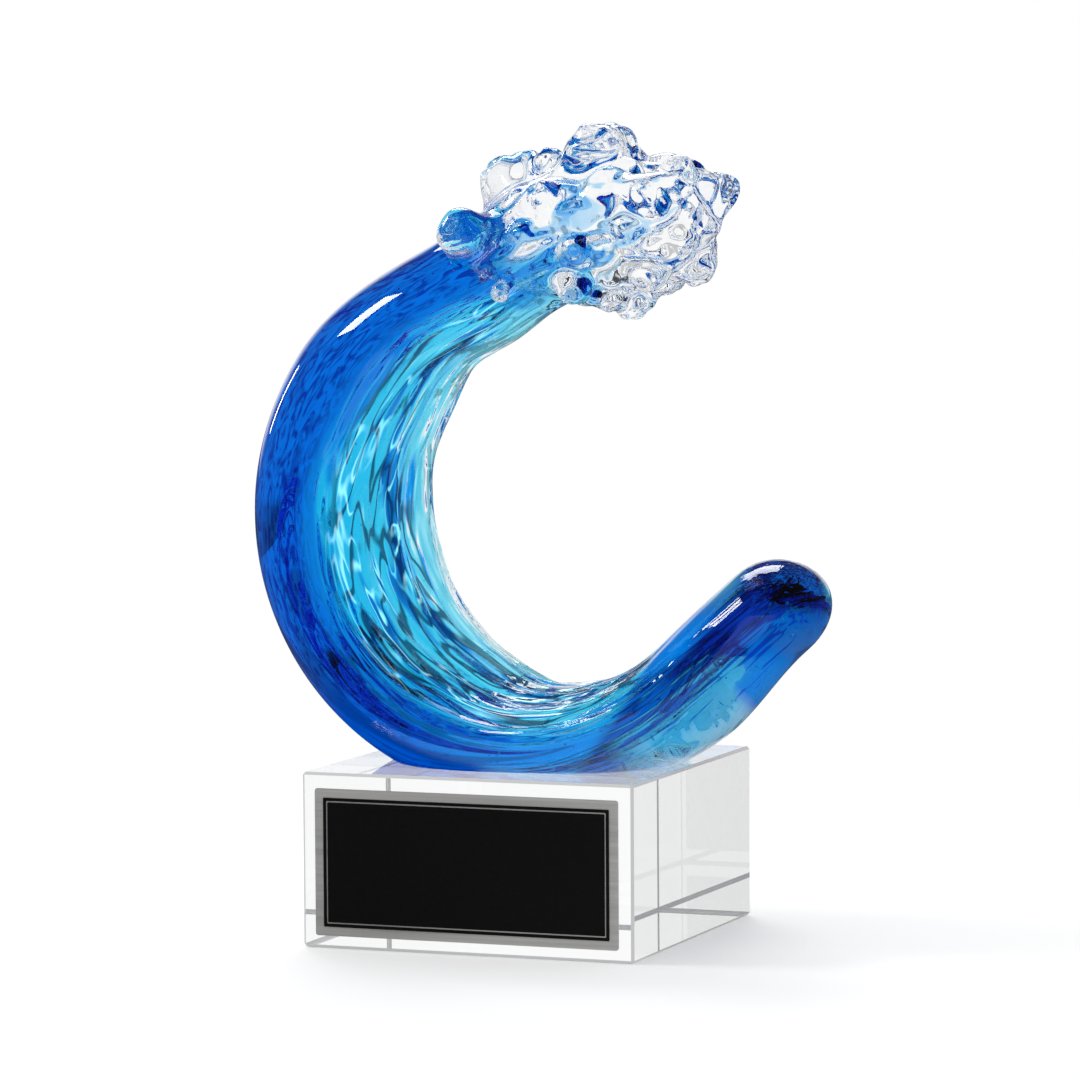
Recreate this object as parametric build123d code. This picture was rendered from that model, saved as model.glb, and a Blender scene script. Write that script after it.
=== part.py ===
from build123d import *
import math
import os

# A hot-worked glass wave on a clear crystal block with a blank plate.
# Millimetres, +Z up. Origin at the middle of the block's underside, front face at -Y.

# Crystal block
base_width = 100.0
base_depth = 100.0
base_height = 50.0
base_bevel = 0.8

# Plate on the front face of the block
plate_side_margin = 4.25
plate_top_margin = 4.4
plate_bottom_margin = 3.6
plate_corner = 0.8
tape_thickness = 0.2
tape_inset = 0.6
sheet_thickness = 0.6
panel_thickness = 0.2
panel_border = 2.6      # brushed metal left bare round the black panel
stripe_inset = 0.9      # black band outside the bare pinstripe
stripe_width = 0.4
panel_corner = 0.3

# Adhesive under the ground foot of the wave
glue_thickness = 0.3
foot_grind = 9.3        # depth ground off the round underside

# Centre line of the wave, seen from the front: tail, round curl, lip, drooping crest
curl_centre_x = 8.5
curl_radius = 66.2
tail_slope = 41.0       # degrees above level
tail_length = 47.5
lip_slope = 28.0        # degrees above level
lip_length = 34.0
crest_radius = 64.0
crest_droop = 15.0      # degrees below level at the crest's end

# Half sizes of the section: thick lies across the curl, wide lies along Y
tail_thick = 14.4
tail_wide = 23.0
waist_thick = 15.4
waist_wide = 30.0
foot_thick = 15.2
foot_wide = 37.0
haunch_thick = 19.9
haunch_wide = 40.0
back_thick = 23.5
back_wide = 36.2
shoulder_thick = 22.0
shoulder_wide = 33.0
lip_thick = 17.4
lip_wide = 31.8
crest_thick = 17.6
crest_wide = 29.0
tip_thick = 13.5
tip_wide = 22.0
tail_dome = 16.0        # length over which the tail rounds off
tip_dome = 13.0         # length over which the crest rounds off

# Flutes pulled along the hollow face
flute_count = 6
flute_depth = 1.6
waist_flute = 0.2       # share of the full depth
foot_flute = 0.7
lip_flute = 0.7

# Fineness of the sections and of the rounded ends
points_per_flute = 4
back_steps = 8
dome_shares = (0.04, 0.16, 0.38, 0.68)

# Blue glass inside the wave, and the clear glass cased over it
core_start = 5.0        # from the tail's end to the blue
core_dome = 14.0        # length over which the blue rounds off in the tail
core_reach = 46.0       # how far the blue tongue runs on past the curl
front_cover = 2.2
rear_cover = 4.0
back_cover = 1.2
shoulder_back_cover = 2.2
lip_back_cover = 3.0
hollow_cover = 12.0
waist_hollow_cover = 3.0
waist_back_cover = 5.0
tail_hollow_cover = 1.0
tail_back_cover = 6.0
tongue_shift = 3.5      # the tongue lies towards the hollow by this much
tongue_shares = (0.35, 0.65, 0.88)
tongue_power = 0.6      # below 1 for a blunt tongue
core_steps = 6

# Blue streaks pulled on from the tongue into the crest: start and end past the curl, then offsets
# into the hollow and along Y at the start and at the end, and the radius
wisp_squash = 1.6       # wider along Y than across
wisp_tip = 0.5          # radius of its ends
wisp_power = 0.6        # below 1 to swell early
wisp_shares = (0.0, 0.12, 0.35, 0.6, 0.82, 1.0)
blue_wisps = [
    (12, 64, 4, -9, 3, -13, 3.6),
    (10, 74, 0, 3, -4, 5, 4.0),
    (14, 60, 5, 9, 6, 12, 3.2),
    (12, 68, -3, -8, -7, -12, 2.8),
    (16, 78, 1, -2, 1, -4, 2.6),
]

# Seam between the blue wave and the clear crest
seam_along_lip = 20.0
seam_fall = 24.0        # degrees below level towards the crest's end

# Foam beads: a round head on a flared neck, pressed on while hot
neck_flare = 50.0       # degrees of flare below the neck
neck_rise = 0.12        # height of the neck above the glass, as a share of the head's radius
root_depth = 0.35       # depth of the root under the flare, as a share of the head's radius

# Each bead: distance along the crest, degrees round it, head radius, standoff as a share of the
# radius. Round the crest, 0 is the hollow side, 90 the front, 180 the top and 270 the rear.
foam_beads = [
    (54, 156, 8.1, 0.8),
    (31, 172, 7.2, 0.6),
    (22, 109, 6.9, 0.5),
    (56, 194, 6.9, 1.1),
    (74, 134, 6.4, 0.6),
    (61, 114, 6.1, 0.4),
    (45, 108, 6.1, 0.4),
    (55, 351, 6.1, 0.7),
    (78, 79, 5.8, 0.4),
    (71, 109, 5.5, 0.5),
    (71, 56, 5.5, 0.5),
    (45, 58, 5.2, 0.5),
    (79, 8, 5.2, 0.7),
    (37, 184, 4.9, 1.1),
    (79, 205, 4.9, 0.9),
    (50, 24, 4.9, 0.6),
    (51, 78, 4.6, 0.4),
    (60, 58, 4.6, 0.4),
    (43, 168, 4.0, 1.5),
    (79, 110, 4.0, 0.6),
    (59, 210, 3.6, 1.4),
    (26, 78, 2.7, 1.0),
    (27, 232, 6.6, 0.5),
    (41, 246, 7.0, 0.5),
    (63, 240, 6.6, 0.6),
    (54, 262, 6.0, 0.4),
    (74, 252, 5.8, 0.5),
    (45, 300, 5.6, 0.5),
    (61, 305, 5.8, 0.6),
    (34, 278, 4.6, 0.5),
    (75, 300, 5.0, 0.5),
    (49, 222, 5.0, 0.5),
    (71, 222, 5.0, 0.5),
    (77, 160, 4.6, 0.5),
    (67, 278, 4.6, 0.4),
    (35, 214, 4.4, 0.6),
    (81, 104, 4.3, 0.6),
    (25, 262, 4.2, 0.4),
    (63, 144, 3.8, 0.4),
    (59, 77, 3.8, 0.3),
    (68, 89, 3.8, 0.2),
    (51, 94, 3.5, 0.3),
    (56, 99, 3.5, 0.3),
    (52, 113, 3.5, 0.3),
    (46, 42, 3.5, 0.5),
    (70, 346, 4.0, 0.5),
    (65, 30, 3.5, 0.5),
    (37, 96, 3.2, 0.4),
    (37, 128, 3.0, 0.4),
    (23, 87, 1.7, 0.8),
]

# Heights and lengths that follow from the sizes above
foot_level = base_height + glue_thickness
curl_centre_z = foot_level + curl_radius + foot_thick - foot_grind
curl_start = tail_length
curl_foot = curl_start + curl_radius * math.radians(tail_slope)
curl_back = curl_foot + curl_radius * math.pi / 2
curl_haunch = (2 * curl_foot + curl_back) / 3
curl_end = curl_foot + curl_radius * (math.pi - math.radians(lip_slope))
curl_shoulder = (curl_back + curl_end) / 2
lip_end = curl_end + lip_length
path_end = lip_end + crest_radius * math.radians(lip_slope + crest_droop)


def on_curl(degrees_from_foot):
    turn = math.radians(degrees_from_foot)
    return curl_centre_x + curl_radius * math.sin(turn), curl_centre_z - curl_radius * math.cos(turn)


def path_frame(length):
    # Point on the centre line and its heading in degrees above +X
    if length <= curl_start:
        x, z = on_curl(tail_slope)
        run = curl_start - length
        heading = tail_slope + 180.0
        slope = math.radians(tail_slope)
        return x + run * math.cos(slope), z + run * math.sin(slope), heading
    if length <= curl_end:
        turned = tail_slope - math.degrees((length - curl_start) / curl_radius)
        x, z = on_curl(turned)
        return x, z, turned + 180.0
    x, z = on_curl(lip_slope - 180.0)
    slope = math.radians(lip_slope)
    run = min(length - curl_end, lip_length)
    x += run * math.cos(slope)
    z += run * math.sin(slope)
    turned = max(length - lip_end, 0.0) / crest_radius
    x += crest_radius * (math.sin(slope) - math.sin(slope - turned))
    z -= crest_radius * (math.cos(slope) - math.cos(slope - turned))
    return x, z, lip_slope - math.degrees(turned)


def section_plane(length):
    # Local x points into the hollow of the curl, local y is +Y
    x, z, heading = path_frame(length)
    turn = math.radians(heading)
    ahead = (math.cos(turn), 0, math.sin(turn))
    hollow = (math.sin(turn), 0, -math.cos(turn))
    return Plane(origin=(x, 0, z), x_dir=hollow, z_dir=ahead)


def even_spline(points, tangents):
    # Spline whose points are evenly spaced along it, so that all sections run alike
    last = len(points) - 1
    spacing = [step / last for step in range(last + 1)]
    return Edge.make_spline(points, tangents, parameters=spacing, scale=False)


def section(length, thick, wide, flute):
    # Half an ellipse on the back, and a fluted half on the hollow side
    hollow_points = []
    hollow_steps = points_per_flute * flute_count
    for step in range(hollow_steps + 1):
        around = math.pi * (step / hollow_steps - 0.5)
        groove = 0.5 - 0.5 * math.cos(2 * math.pi * flute_count * step / hollow_steps)
        dip = flute * groove * math.cos(around) ** 2
        hollow_points.append((thick * math.cos(around) - dip, wide * math.sin(around)))
    back_points = []
    for step in range(back_steps + 1):
        around = math.pi * (step / back_steps + 0.5)
        back_points.append((thick * math.cos(around), wide * math.sin(around)))
    across = math.pi * thick
    hollow_side = even_spline(hollow_points, [(across, 0), (-across, 0)])
    back_side = even_spline(back_points, [(-across, 0), (across, 0)])
    return section_plane(length) * Wire([hollow_side, back_side])


def dome_sections(tip, inward, dome, thick, wide):
    # Sections that shrink to a rounded end, from the tip inwards
    rings = []
    for share in dome_shares:
        size = math.sqrt(1 - (1 - share) ** 2)
        rings.append(section(tip + inward * dome * share, thick * size, wide * size, 0.0))
    return rings


def path_vertex(length):
    x, z, heading = path_frame(length)
    return Vertex(x, 0, z)


def make_whole_wave():
    tail_rings = dome_sections(0.0, 1, tail_dome, tail_thick, tail_wide)
    tip_rings = dome_sections(path_end, -1, tip_dome, tip_thick, tip_wide)
    middle = [
        section(tail_dome, tail_thick, tail_wide, 0.0),
        section(curl_start, waist_thick, waist_wide, waist_flute * flute_depth),
        section(curl_foot, foot_thick, foot_wide, foot_flute * flute_depth),
        section(curl_haunch, haunch_thick, haunch_wide, flute_depth),
        section(curl_back, back_thick, back_wide, flute_depth),
        section(curl_shoulder, shoulder_thick, shoulder_wide, flute_depth),
        section(curl_end, lip_thick, lip_wide, lip_flute * flute_depth),
        section(lip_end, crest_thick, crest_wide, 0.0),
        section(path_end - tip_dome, tip_thick, tip_wide, 0.0),
    ]
    rings = [path_vertex(0.0)] + tail_rings + middle + tip_rings[::-1] + [path_vertex(path_end)]
    wave = Solid.make_loft(rings)
    ground = Plane(origin=(0, 0, foot_level))
    return split(wave, bisect_by=ground, keep=Keep.TOP)


def make_seam():
    # Sloping plane between the wave and its crest, facing the crest
    x, z, heading = path_frame(curl_end + seam_along_lip)
    fall = math.radians(seam_fall)
    return Plane(origin=(x, 0, z), x_dir=(0, 1, 0), z_dir=(math.sin(fall), 0, math.cos(fall)))


def core_section(length, thick, wide, over_hollow, over_back, size=1.0, shift=0.0):
    # Oval of blue glass, set in from the skin by the clear glass over it
    across = size * (wide - (front_cover + rear_cover) / 2)
    middle = size * (front_cover - rear_cover) / 2
    halves = []
    for depth, start in ((thick - over_hollow, -0.5), (thick - over_back, 0.5)):
        points = []
        for step in range(core_steps + 1):
            around = math.pi * (step / core_steps + start)
            points.append((shift + size * depth * math.cos(around), middle + across * math.sin(around)))
        pull = -2 * start * math.pi * size * depth
        halves.append(even_spline(points, [(pull, 0), (-pull, 0)]))
    return section_plane(length) * Wire(halves)


def make_blue_core():
    rings = [path_vertex(core_start)]
    for share in dome_shares:
        size = math.sqrt(1 - (1 - share) ** 2)
        place = core_start + share * core_dome
        rings.append(core_section(place, tail_thick, tail_wide, tail_hollow_cover, tail_back_cover, size))
    rings += [
        core_section(core_start + core_dome, tail_thick, tail_wide, tail_hollow_cover, tail_back_cover),
        core_section(curl_start, waist_thick, waist_wide, waist_hollow_cover, waist_back_cover),
        core_section(curl_foot, foot_thick, foot_wide, hollow_cover, back_cover),
        core_section(curl_haunch, haunch_thick, haunch_wide, hollow_cover, back_cover),
        core_section(curl_back, back_thick, back_wide, hollow_cover, back_cover),
        core_section(curl_shoulder, shoulder_thick, shoulder_wide, hollow_cover, shoulder_back_cover),
        core_section(curl_end, lip_thick, lip_wide, hollow_cover, lip_back_cover),
    ]
    for share in tongue_shares:
        size = (1 - share) ** tongue_power
        place = curl_end + share * core_reach
        shift = tongue_shift * share
        rings.append(core_section(place, lip_thick, lip_wide, hollow_cover, lip_back_cover, size, shift))
    tip = section_plane(curl_end + core_reach).from_local_coords((tongue_shift, 0, 0))
    core = Solid.make_loft(rings + [Vertex(*tip)])
    level = Plane(origin=(0, 0, foot_level + back_cover))
    return split(core, bisect_by=level, keep=Keep.TOP)


def make_wisp(start, end, inward, side, end_inward, end_side, radius):
    # Streak that swells and tapers between its two ends
    rings = []
    for share in wisp_shares:
        place = section_plane(curl_end + start + share * (end - start))
        shift = (inward + share * (end_inward - inward), side + share * (end_side - side), 0)
        middle = Plane(origin=place.from_local_coords(shift), x_dir=place.x_dir, z_dir=place.z_dir)
        size = wisp_tip + (radius - wisp_tip) * math.sin(math.pi * share ** wisp_power)
        rings.append(middle * Wire(Edge.make_ellipse(size, wisp_squash * size)))
    return Solid.make_loft(rings)


def bead_plane(along, around):
    # Plane on the skin of the crest, facing straight out of it
    across = section_plane(curl_end + along)
    turn = math.radians(around)
    outward = across.x_dir * math.cos(turn) - across.y_dir * math.sin(turn)
    hits = whole_wave.shell().find_intersection_points(Axis(across.origin, outward))
    ahead = [hit for hit in hits if (hit[0] - across.origin).dot(outward) > 0]
    point, normal = min(ahead, key=lambda hit: (hit[0] - across.origin).length)
    return Plane(origin=point, z_dir=normal)


def bead_profile(radius, standoff):
    # Right half of the outline: root, flare, neck and head, with the neck at height 0
    head = standoff * radius
    fillet = head
    fillet_x = math.sqrt((radius + fillet) ** 2 - head ** 2)
    flare = math.radians(neck_flare)
    root_x = fillet_x - fillet * math.cos(flare)
    flare_z = -fillet * math.sin(flare)
    root_z = flare_z - root_depth * radius
    share = fillet / (radius + fillet)
    join_x = fillet_x * (1 - share)
    join_z = head * share
    half_turn = math.radians(45) + math.atan2(join_z - head, join_x) / 2
    side = (radius * math.cos(half_turn), head + radius * math.sin(half_turn))
    neck = ThreePointArc((root_x, flare_z), (fillet_x - fillet, 0), (join_x, join_z))
    dome = ThreePointArc((join_x, join_z), side, (0, head + radius))
    root = Polyline((0, head + radius), (0, root_z), (root_x, root_z), (root_x, flare_z))
    return make_face(Plane.XZ * Curve([neck, dome, root]))


def boxes_meet(one, other):
    first = one.bounding_box()
    second = other.bounding_box()
    low = (max(a, b) for a, b in zip(first.min, second.min))
    high = (min(a, b) for a, b in zip(first.max, second.max))
    return all(start < end for start, end in zip(low, high))


def make_bead(along, around, radius, standoff, earlier):
    # Seated on the crest and against the beads that were there before it
    neck = bead_plane(along, around).offset(neck_rise * radius)
    blank = neck * revolve(bead_profile(radius, standoff), Axis.Z).solid()
    neighbours = [other for other in earlier if boxes_meet(blank, other)]
    bead = blank.cut(whole_wave, *neighbours)
    return max(bead.solids(), key=lambda solid: solid.volume)


def make_base_block():
    block = Box(base_width, base_depth, base_height, align=(Align.CENTER, Align.CENTER, Align.MIN))
    return chamfer(block.edges(), base_bevel)


def make_foot_glue():
    foot = clear_casing.faces().sort_by(Axis.Z)[0]
    return extrude(foot, glue_thickness, dir=(0, 0, -1))


def plate_layer(inset, corner, behind, thickness):
    # Rounded slab on the front of the block, its back face this far in front of it
    width = base_width - 2 * (plate_side_margin + inset)
    height = base_height - plate_bottom_margin - plate_top_margin - 2 * inset
    middle = (base_height + plate_bottom_margin - plate_top_margin) / 2
    back = Plane(origin=(0, -base_depth / 2 - behind, middle), x_dir=(1, 0, 0), z_dir=(0, -1, 0))
    return extrude(back * RectangleRounded(width, height, corner), thickness)


def make_plate():
    sheet_back = tape_thickness
    panel_back = sheet_back + sheet_thickness
    band_inner = panel_border + stripe_inset
    field_edge = band_inner + stripe_width
    panel = plate_layer(panel_border, panel_corner, panel_back, panel_thickness)
    opening = plate_layer(band_inner, panel_corner, panel_back, panel_thickness)
    return {
        "plate_tape": plate_layer(tape_inset, plate_corner, 0, tape_thickness),
        "plate_sheet": plate_layer(0, plate_corner, sheet_back, sheet_thickness),
        "plate_black_band": panel - opening,
        "plate_black_field": plate_layer(field_edge, panel_corner, panel_back, panel_thickness),
    }


whole_wave = make_whole_wave()
crest_half, wave_half = whole_wave.split(make_seam(), keep=Keep.BOTH)
wave_body = make_blue_core().fuse(*[make_wisp(*row) for row in blue_wisps])
clear_casing = wave_half.cut(wave_body).solid()
crest_core = crest_half.cut(wave_body).solid()

nodes = {
    "base_block": make_base_block(),
    "foot_glue": make_foot_glue(),
    "wave_body": wave_body,
    "clear_casing": clear_casing,
    "crest_core": crest_core,
}
nodes.update(make_plate())

beads = []
for bead_row in foam_beads:
    beads.append(make_bead(*bead_row, beads))
for number, bead in enumerate(beads, start=1):
    nodes[f"foam_bead_{number:02d}"] = bead

os.makedirs("parts", exist_ok=True)
for name, solid in nodes.items():
    export_step(solid, f"parts/{name}.step")
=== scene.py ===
import bpy
import bmesh
import math
import numpy as np
import openvdb
from mathutils import Matrix, Vector


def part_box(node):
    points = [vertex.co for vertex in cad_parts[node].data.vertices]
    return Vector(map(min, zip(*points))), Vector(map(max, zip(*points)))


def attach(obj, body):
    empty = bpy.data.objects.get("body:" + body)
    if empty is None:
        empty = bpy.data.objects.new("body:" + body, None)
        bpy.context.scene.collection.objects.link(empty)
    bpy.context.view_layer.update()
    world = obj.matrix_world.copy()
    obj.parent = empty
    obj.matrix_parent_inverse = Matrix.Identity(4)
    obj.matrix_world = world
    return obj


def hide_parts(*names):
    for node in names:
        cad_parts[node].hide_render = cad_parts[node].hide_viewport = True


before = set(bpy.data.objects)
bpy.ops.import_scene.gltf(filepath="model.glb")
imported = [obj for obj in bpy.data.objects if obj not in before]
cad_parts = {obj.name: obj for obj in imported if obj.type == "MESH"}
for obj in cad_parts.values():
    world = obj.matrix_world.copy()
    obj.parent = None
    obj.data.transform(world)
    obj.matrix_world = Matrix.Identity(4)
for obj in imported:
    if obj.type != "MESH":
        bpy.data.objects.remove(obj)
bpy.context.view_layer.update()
scene = bpy.context.scene
mm = 0.001
white = (1, 1, 1, 1)
black = (0, 0, 0, 1)
print("frame loaded, nodes:", len(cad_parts))

# the photograph's camera, fitted to the block's corners
viewpoint = {
    "place": (0.5804, -1.4920, 0.2401),
    "azimuth": 21.14,       # degrees round from the front
    "elevation": 4.53,      # degrees above level
    "roll": -0.33,
    "lens": 186.0,
    "sensor": 36.0,
    "clip": (0.05, 50),
}


def makeCamera():
    az, el, roll = (math.radians(viewpoint[k]) for k in ("azimuth", "elevation", "roll"))
    back = Vector((math.sin(az) * math.cos(el), -math.cos(az) * math.cos(el), math.sin(el)))
    right = Vector((math.cos(az), math.sin(az), 0))
    up = back.cross(right)
    turnedRight = right * math.cos(roll) + up * math.sin(roll)
    turnedUp = up * math.cos(roll) - right * math.sin(roll)
    data = bpy.data.cameras.new("studioCamera")
    data.lens = viewpoint["lens"]
    data.sensor_width = viewpoint["sensor"]
    data.clip_start, data.clip_end = viewpoint["clip"]
    camera = bpy.data.objects.new("studioCamera", data)
    scene.collection.objects.link(camera)
    turn = Matrix((turnedRight, turnedUp, back)).transposed()
    camera.matrix_world = Matrix.Translation(viewpoint["place"]) @ turn.to_4x4()
    scene.camera = camera


# one socket of a node tree, ready for plain arithmetic
class Sock:
    def __init__(self, tree, out=None):
        self.tree = tree
        self.out = out

    def plug(self, target, value):
        if isinstance(value, Sock):
            self.tree.links.new(value.out, target)
        else:
            target.default_value = value

    def node(self, kind, settings=None, sockets=None, out=0):
        made = self.tree.nodes.new(kind)
        for key, value in (settings or {}).items():
            if key == "stops":
                fillRamp(made.color_ramp, value)
            else:
                setattr(made, key, value)
        for key, value in (sockets or {}).items():
            self.plug(made.inputs[key], value)
        return Sock(self.tree, made.outputs[out])

    def math(self, operation, *others):
        return self.node("ShaderNodeMath", {"operation": operation}, dict(enumerate((self, *others))))

    def __add__(self, other):
        return self.math("ADD", other)

    def __mul__(self, other):
        return self.math("MULTIPLY", other)

    def __sub__(self, other):
        return self.math("SUBTRACT", other)

    def __rsub__(self, other):
        return (self * -1.0) + other

    def __truediv__(self, other):
        return self.math("DIVIDE", other)

    __radd__ = __add__
    __rmul__ = __mul__

    def between(self, low, high):
        # 0 at low, 1 at high and smooth between them
        return self.node("ShaderNodeMapRange", {"interpolation_type": "SMOOTHSTEP"},
                         {"Value": self, "From Min": low, "From Max": high})

    def blend(self, first, second):
        return self.node("ShaderNodeMix", {"data_type": "RGBA"}, {0: self, 6: first, 7: second}, 2)


def fillRamp(ramp, stops):
    while len(ramp.elements) < len(stops):
        ramp.elements.new(0.5)
    for element, (position, colour) in zip(ramp.elements, stops):
        element.position = position
        element.color = colour


def newMaterial(name):
    material = bpy.data.materials.new(name)
    material.use_nodes = True
    material.node_tree.nodes.clear()
    return material, Sock(material.node_tree)


def finishMaterial(start, surface=None, volume=None):
    output = start.tree.nodes.new("ShaderNodeOutputMaterial")
    for name, value in (("Surface", surface), ("Volume", volume)):
        if value is not None:
            start.plug(output.inputs[name], value)


# the wave's centre line and sections, as the solids have them, in millimetres
waveShape = {
    "curlCentre": (8.5, 122.4),
    "curlRadius": 66.2,
    "tailSlope": 41.0,
    "tailLength": 47.5,
    "lipSlope": 28.0,
    "lipLength": 34.0,
    "crestRadius": 64.0,
    "crestDroop": 15.0,
    "tailDome": 16.0,
    "blockTop": 50.0,
}
tailSlope = math.radians(waveShape["tailSlope"])
lipSlope = math.radians(waveShape["lipSlope"])
curlStart = waveShape["tailLength"]
curlFoot = curlStart + waveShape["curlRadius"] * tailSlope
curlBack = curlFoot + waveShape["curlRadius"] * math.pi / 2
curlEnd = curlFoot + waveShape["curlRadius"] * (math.pi - lipSlope)
lipEnd = curlEnd + waveShape["lipLength"]
pathEnd = lipEnd + waveShape["crestRadius"] * (lipSlope + math.radians(waveShape["crestDroop"]))
pathStep = 0.5              # between the points of the path that are tried for the nearest
pathBatch = 4000            # points looked up at a time
noiseGrid = 64              # cells before the random hills repeat


def onCurl(turn):
    cx, cz = waveShape["curlCentre"]
    return cx + waveShape["curlRadius"] * np.sin(turn), cz - waveShape["curlRadius"] * np.cos(turn)


def pathFrame(length):
    # point and heading of the centre line at each length
    length = np.asarray(length, float)
    crestRadius = waveShape["crestRadius"]
    turn = np.clip(tailSlope - (length - curlStart) / waveShape["curlRadius"], lipSlope - math.pi, tailSlope)
    x, z = onCurl(turn)
    before = np.maximum(curlStart - length, 0)
    x = x + before * math.cos(tailSlope)
    z = z + before * math.sin(tailSlope)
    run = np.clip(length - curlEnd, 0, waveShape["lipLength"])
    bent = np.maximum(length - lipEnd, 0) / crestRadius
    x = x + run * math.cos(lipSlope) + crestRadius * (math.sin(lipSlope) - np.sin(lipSlope - bent))
    z = z + run * math.sin(lipSlope) - crestRadius * (math.cos(lipSlope) - np.cos(lipSlope - bent))
    return x, z, turn + math.pi - bent


def offPath(length, inward, side):
    # points at an offset from the centre line, into the hollow and along Y
    x, z, heading = pathFrame(length)
    return np.stack([x + inward * np.sin(heading), side, z - inward * np.cos(heading)], -1)


def nearestOnPath(points, first=0.0, last=pathEnd):
    # length along the path, offset into the hollow and offset along Y of each point
    lengths = np.arange(first, last + 0.1, pathStep)
    x, z, heading = pathFrame(lengths)
    best = np.zeros(len(points), int)
    for start in range(0, len(points), pathBatch):
        part = points[start:start + pathBatch]
        far = (part[:, 0, None] - x) ** 2 + (part[:, 2, None] - z) ** 2
        best[start:start + pathBatch] = far.argmin(1)
    x, z, heading = x[best], z[best], heading[best]
    inward = (points[:, 0] - x) * np.sin(heading) - (points[:, 2] - z) * np.cos(heading)
    return lengths[best], inward, points[:, 1]


# length along the path, half thickness, half width
waveStations = [
    (0, 14.4, 23.0),
    (waveShape["tailDome"], 14.4, 23.0),
    (curlStart, 15.4, 30.0),
    (curlFoot, 15.2, 37.0),
    ((2 * curlFoot + curlBack) / 3, 19.9, 40.0),
    (curlBack, 23.5, 36.2),
    ((curlBack + curlEnd) / 2, 22.0, 33.0),
    (curlEnd, 17.4, 31.8),
    (lipEnd, 17.6, 29.0),
    (pathEnd, 13.5, 22.0),
]


def alongStations(length, column, stations):
    # cubic through the stations, flat where they turn back
    at = np.array([row[0] for row in stations], float)
    value = np.array([row[column] for row in stations], float)
    step = np.diff(value) / np.diff(at)
    slope = np.zeros(len(at))
    both = step[:-1] * step[1:] > 0
    slope[1:-1][both] = 2 * step[:-1][both] * step[1:][both] / (step[:-1] + step[1:])[both]
    i = np.clip(np.searchsorted(at, length) - 1, 0, len(at) - 2)
    gap = at[i + 1] - at[i]
    t = np.clip((length - at[i]) / gap, 0, 1)
    return (value[i] * (1 + 2 * t) * (1 - t) ** 2 + slope[i] * gap * t * (1 - t) ** 2
            + value[i + 1] * t * t * (3 - 2 * t) + slope[i + 1] * gap * t * t * (t - 1))


def waveSection(length):
    # half thickness and half width of the wave
    return alongStations(length, 1, waveStations), alongStations(length, 2, waveStations)


def stepUp(value, low, high):
    t = np.clip((value - low) / (high - low), 0, 1)
    return t * t * (3 - 2 * t)


def flowNoise(across, along, seed):
    # smooth random hills on a unit grid, from about -1 to 1
    grid = np.random.default_rng(seed).uniform(-1, 1, (noiseGrid, noiseGrid))
    i, j = np.floor(across).astype(int), np.floor(along).astype(int)
    u, v = across - i, along - j
    u, v = u * u * (3 - 2 * u), v * v * (3 - 2 * v)

    def corner(a, b):
        return grid[(i + a) % noiseGrid, (j + b) % noiseGrid]

    return ((corner(0, 0) * (1 - u) + corner(1, 0) * u) * (1 - v)
            + (corner(0, 1) * (1 - u) + corner(1, 1) * u) * v)


def drawnHills(across, length, hills, lean=0):
    # hills drawn out along the wave, from their count across, shift, length in mm and seed
    count, shift, run, seed = hills
    return flowNoise(across * count + lean + shift, length / run, seed)


def domeSize(share):
    # how wide a rounded end is, from 0 at its tip to 1 where it ends
    return np.sqrt(np.clip(1 - (1 - share) ** 2, 0, 1))


def tubeGrid(tube, begin, dome, end):
    # lengths and angles of a tube's points, closer together in its rounded ends and on the hollow
    tipTurn = np.linspace(tube["tipTurn"], math.pi / 2, tube["tipRows"])
    endTurn = np.linspace(tube["endTurn"][0], math.pi / 2 - tube["endTurn"][1], tube["endRows"])
    rows = np.concatenate([
        begin + dome * (1 - np.cos(tipTurn)),
        np.arange(begin + dome + 1, end - tube["endDome"], tube["rowStep"]),
        end - tube["endDome"] * (1 - np.sin(endTurn)),
    ])
    turn = np.linspace(0, 2 * math.pi, tube["ring"], endpoint=False)
    turn = turn - tube["crowding"] * np.sin(turn)
    return np.meshgrid(rows, turn, indexing="ij")


def tubeMesh(name, rows):
    # closed tube: rows of points with a pole at each end
    count, around = len(rows), len(rows[0])
    points = np.concatenate([np.asarray(rows).reshape(-1, 3), [rows[0].mean(0)], [rows[-1].mean(0)]]) * mm
    faces = []
    for r in range(count - 1):
        for c in range(around):
            d = (c + 1) % around
            faces.append((r * around + c, r * around + d, (r + 1) * around + d, (r + 1) * around + c))
    first, last = count * around, count * around + 1
    for c in range(around):
        d = (c + 1) % around
        faces.append((first, d, c))
        faces.append((last, (count - 1) * around + c, (count - 1) * around + d))
    mesh = bpy.data.meshes.new(name)
    mesh.from_pydata(points.tolist(), [], faces)
    mesh.validate()
    tidyNormals(mesh)
    return mesh


def tidyNormals(mesh, merge=0.0):
    work = bmesh.new()
    work.from_mesh(mesh)
    if merge:
        bmesh.ops.remove_doubles(work, verts=work.verts, dist=merge)
    bmesh.ops.recalc_face_normals(work, faces=work.faces)
    work.to_mesh(mesh)
    work.free()


def readPoints(mesh):
    points = np.zeros(len(mesh.vertices) * 3)
    mesh.vertices.foreach_get("co", points)
    return points.reshape(-1, 3) / mm


def newPiece(name, mesh):
    piece = bpy.data.objects.new(name, mesh)
    scene.collection.objects.link(piece)
    return piece


def applyModifiers(piece):
    bpy.context.view_layer.update()
    graph = bpy.context.evaluated_depsgraph_get()
    mesh = bpy.data.meshes.new_from_object(piece.evaluated_get(graph))
    piece.modifiers.clear()
    piece.data = mesh


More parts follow.
